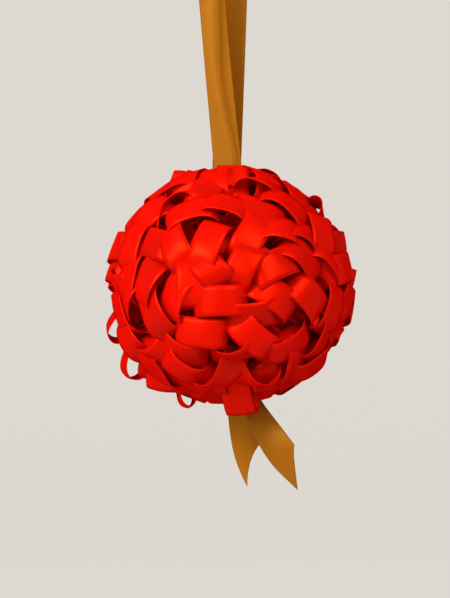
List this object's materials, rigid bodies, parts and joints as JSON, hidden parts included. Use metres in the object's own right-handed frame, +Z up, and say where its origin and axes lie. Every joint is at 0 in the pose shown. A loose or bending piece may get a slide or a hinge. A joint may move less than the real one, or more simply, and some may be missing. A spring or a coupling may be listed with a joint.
{
  "type": "ribbon loop ball ornament",
  "caption": "Hanging ball ornament: a foam ball covered all over in pinned loops of satin ribbon, with a ribbon hanger on top and two trailing ribbon tails.",
  "frame": {"origin": "the point of the hanger's bight, on its underside, where it lies over the hook that holds it; the ball hangs below it", "axes": "+Z up along the hanger, through the ball's centre; +Y away from the side that faces the viewer; +X to the viewer's right, along the width of the gold ribbons"},
  "size_m": [0.103, 0.1037, 0.233],
  "materials": {
    "red_satin": "satin ribbon",
    "gold_satin": "satin ribbon",
    "foam": "fine beaded foam",
    "pin_steel": "bright"
  },
  "bodies": {
    "root": {"back_tail": "gold_satin", "foam_ball": "foam", "front_tail": "gold_satin", "hanger_pin_back": "pin_steel", "hanger_pin_front": "pin_steel", "hanger_ribbon": "gold_satin", "loops_row_01_a": "red_satin", "loops_row_01_b": "red_satin", "loops_row_02_a": "red_satin", "loops_row_02_b": "red_satin", "loops_row_02_c": "red_satin", "loops_row_02_d": "red_satin", "loops_row_03_a": "red_satin", "loops_row_03_b": "red_satin", "loops_row_03_c": "red_satin", "loops_row_03_d": "red_satin", "loops_row_03_e": "red_satin", "loops_row_04_a": "red_satin", "loops_row_04_b": "red_satin", "loops_row_04_c": "red_satin", "loops_row_04_d": "red_satin", "loops_row_04_e": "red_satin", "loops_row_04_f": "red_satin", "loops_row_05_a": "red_satin", "loops_row_05_b": "red_satin", "loops_row_05_c": "red_satin", "loops_row_05_d": "red_satin", "loops_row_05_e": "red_satin", "loops_row_05_f": "red_satin", "loops_row_06_a": "red_satin", "loops_row_06_b": "red_satin", "loops_row_06_c": "red_satin", "loops_row_06_d": "red_satin", "loops_row_06_e": "red_satin", "loops_row_06_f": "red_satin", "loops_row_07_a": "red_satin", "loops_row_07_b": "red_satin", "loops_row_07_c": "red_satin", "loops_row_07_d": "red_satin", "loops_row_07_e": "red_satin", "loops_row_07_f": "red_satin", "loops_row_08_a": "red_satin", "loops_row_08_b": "red_satin", "loops_row_08_c": "red_satin", "loops_row_08_d": "red_satin", "loops_row_08_e": "red_satin", "loops_row_09_a": "red_satin", "loops_row_09_b": "red_satin", "loops_row_09_c": "red_satin", "loops_row_09_d": "red_satin", "loops_row_10_a": "red_satin", "loops_row_10_b": "red_satin", "tail_pin_back": "pin_steel", "tail_pin_front": "pin_steel"}
  },
  "joints": []
}
